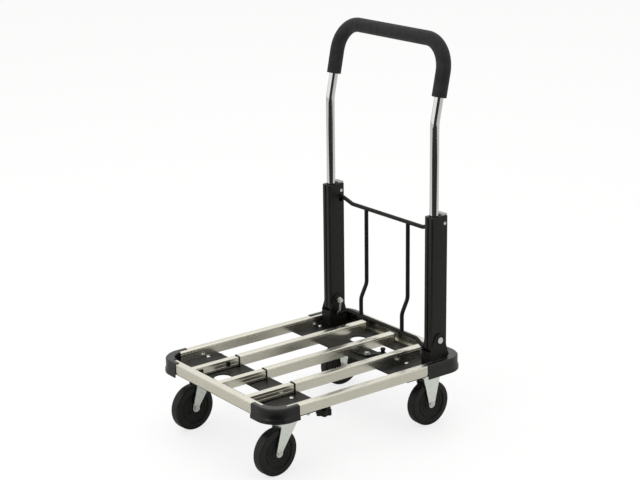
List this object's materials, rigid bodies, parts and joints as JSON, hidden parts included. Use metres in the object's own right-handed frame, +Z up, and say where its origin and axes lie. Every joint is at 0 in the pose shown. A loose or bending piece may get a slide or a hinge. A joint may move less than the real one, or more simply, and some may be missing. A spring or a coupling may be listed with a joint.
{
  "type": "folding platform cart",
  "caption": "Flat platform cart with a slatted metal deck that pulls out, a telescopic push handle that folds down, swivel casters in front and straight ones behind.",
  "frame": {"origin": "on the floor, midway along, across and under the whole cart's box, with the deck closed, the handle up and pulled out", "axes": "+Z up; +X towards the push handle, so the deck pulls out towards -X; +Y across the deck, towards the left hand of someone who looks along +X"},
  "size_m": [0.5229, 0.422, 0.8485],
  "materials": {
    "aluminium_rail": "satin anodised, warm silver",
    "bumper_plastic": "moulded, faint grain, scuffed edges",
    "black_plastic": "moulded, fine grain",
    "black_steel": "semi-gloss powder coat",
    "upright_coat": "satin powder coat",
    "zinc_steel": "bright zinc plate with a cool green cast",
    "bolt_steel": "zinc plated, semi-bright",
    "spring_steel": "bright wire",
    "wheel_rubber": "hard black rubber, turned rings",
    "lever_plastic": "grey moulded plastic",
    "chrome_tube": "bright chrome",
    "foam_grip": "closed-cell foam, matte, fine pores"
  },
  "bodies": {
    "chassis": {"side_rail_left": "aluminium_rail", "side_rail_right": "aluminium_rail", "deck_rails": "aluminium_rail", "rear_crossbar": "aluminium_rail", "rear_bumper_left": "bumper_plastic", "rear_bumper_right": "bumper_plastic", "rear_plate": "black_steel", "rail_end_caps": "black_plastic", "mouth_rings": "black_plastic", "hinge_bracket_left": "black_steel", "hinge_bracket_right": "black_steel", "bracket_bolts": "bolt_steel", "pivot_bolts": "bolt_steel", "rear_fork_left": "zinc_steel", "rear_fork_right": "zinc_steel", "rear_axles": "bolt_steel", "rear_caster_bolts": "bolt_steel", "rear_caster_nuts": "bolt_steel", "lock_fixings": "bolt_steel"},
    "slide_lock": {"lock_lever": "black_steel", "lock_knob": "black_plastic"},
    "front_section": {"front_crossbar": "aluminium_rail", "front_bumper_left": "bumper_plastic", "front_bumper_right": "bumper_plastic", "slide_rails": "aluminium_rail", "side_slides": "aluminium_rail", "front_plate": "black_steel", "rail_spacers": "black_plastic", "catch_blocks": "black_plastic", "front_caster_plates": "zinc_steel", "front_kingpins": "bolt_steel", "front_caster_bolts": "bolt_steel", "front_caster_nuts": "bolt_steel"},
    "swivel_left": {"front_fork_left": "zinc_steel", "front_axle_left": "bolt_steel"},
    "swivel_right": {"front_fork_right": "zinc_steel", "front_axle_right": "bolt_steel"},
    "front_wheel_left": {"wheel_front_left": "wheel_rubber", "bush_front_left": "bolt_steel"},
    "front_wheel_right": {"wheel_front_right": "wheel_rubber", "bush_front_right": "bolt_steel"},
    "rear_wheel_left": {"wheel_rear_left": "wheel_rubber", "bush_rear_left": "bolt_steel"},
    "rear_wheel_right": {"wheel_rear_right": "wheel_rubber", "bush_rear_right": "bolt_steel"},
    "clamp_left": {"clamp_knob_left": "black_plastic"},
    "clamp_right": {"clamp_knob_right": "black_plastic"},
    "handle_frame": {"upright_left": "upright_coat", "upright_right": "upright_coat", "tube_collars": "black_plastic", "lever_pins": "bolt_steel", "lever_springs": "spring_steel", "guard_springs": "spring_steel"},
    "release_guard": {"guard": "black_steel"},
    "lever_left": {"height_lever_left": "lever_plastic"},
    "lever_right": {"height_lever_right": "lever_plastic"},
    "telescope": {"handle_tube": "chrome_tube", "tube_plugs": "black_plastic", "hand_grip": "foam_grip"}
  },
  "joints": [
    {"name": "deck_extend", "type": "slide", "parent": "chassis", "child": "front_section", "axis": [-1, 0, 0], "range_m": [0, 0.2]},
    {"name": "deck_lock", "type": "hinge", "parent": "chassis", "child": "slide_lock", "pos_m": [0.12895, -0.032, 0.141], "axis": [0, 0, 1], "range_deg": [0, 20], "stiffness_Nm_per_rad": 0.3},
    {"name": "clamp_left_turn", "type": "hinge", "parent": "chassis", "child": "clamp_left", "pos_m": [-0.11605, 0.1935, 0.13], "axis": [0, 0, 1], "range_deg": [0, 180]},
    {"name": "clamp_right_turn", "type": "hinge", "parent": "chassis", "child": "clamp_right", "pos_m": [-0.11605, -0.1935, 0.13], "axis": [0, 0, 1], "range_deg": [0, 180]},
    {"name": "caster_left_swivel", "type": "hinge", "parent": "front_section", "child": "swivel_left", "pos_m": [-0.18105, 0.15188, 0.12], "axis": [0, 0, 1], "continuous": true},
    {"name": "caster_right_swivel", "type": "hinge", "parent": "front_section", "child": "swivel_right", "pos_m": [-0.18105, -0.15188, 0.12], "axis": [0, 0, 1], "continuous": true},
    {"name": "front_wheel_left_roll", "type": "hinge", "parent": "swivel_left", "child": "front_wheel_left", "pos_m": [-0.21093, 0.14926, 0.05], "axis": [-0.0872, 0.9962, 0], "continuous": true},
    {"name": "rear_wheel_left_roll", "type": "hinge", "parent": "chassis", "child": "rear_wheel_left", "pos_m": [0.19895, 0.15188, 0.05], "axis": [0, 1, 0], "continuous": true},
    {"name": "front_wheel_right_roll", "type": "hinge", "parent": "swivel_right", "child": "front_wheel_right", "pos_m": [-0.21093, -0.15449, 0.05], "axis": [-0.0872, 0.9962, 0], "continuous": true},
    {"name": "rear_wheel_right_roll", "type": "hinge", "parent": "chassis", "child": "rear_wheel_right", "pos_m": [0.19895, -0.15188, 0.05], "axis": [0, 1, 0], "continuous": true},
    {"name": "handle_fold", "type": "hinge", "parent": "chassis", "child": "handle_frame", "pos_m": [0.19995, 0, 0.202], "axis": [0, -1, 0], "range_deg": [0, 90]},
    {"name": "guard_press", "type": "slide", "parent": "handle_frame", "child": "release_guard", "axis": [0, 0, -1], "range_m": [0, 0.006], "stiffness_N_per_m": 4000, "springref_m": -0.002, "deforming": ["guard_springs"]},
    {"name": "lever_left_tilt", "type": "hinge", "parent": "handle_frame", "child": "lever_left", "pos_m": [0.21265, 0.173, 0.457], "axis": [0, -1, 0], "range_deg": [0, 6], "stiffness_Nm_per_rad": 0.5},
    {"name": "lever_right_tilt", "type": "hinge", "parent": "handle_frame", "child": "lever_right", "pos_m": [0.21265, -0.173, 0.457], "axis": [0, -1, 0], "range_deg": [0, 6], "stiffness_Nm_per_rad": 0.5},
    {"name": "tube_slide", "type": "slide", "parent": "handle_frame", "child": "telescope", "axis": [0, 0, -1], "range_m": [0, 0.185]}
  ]
}
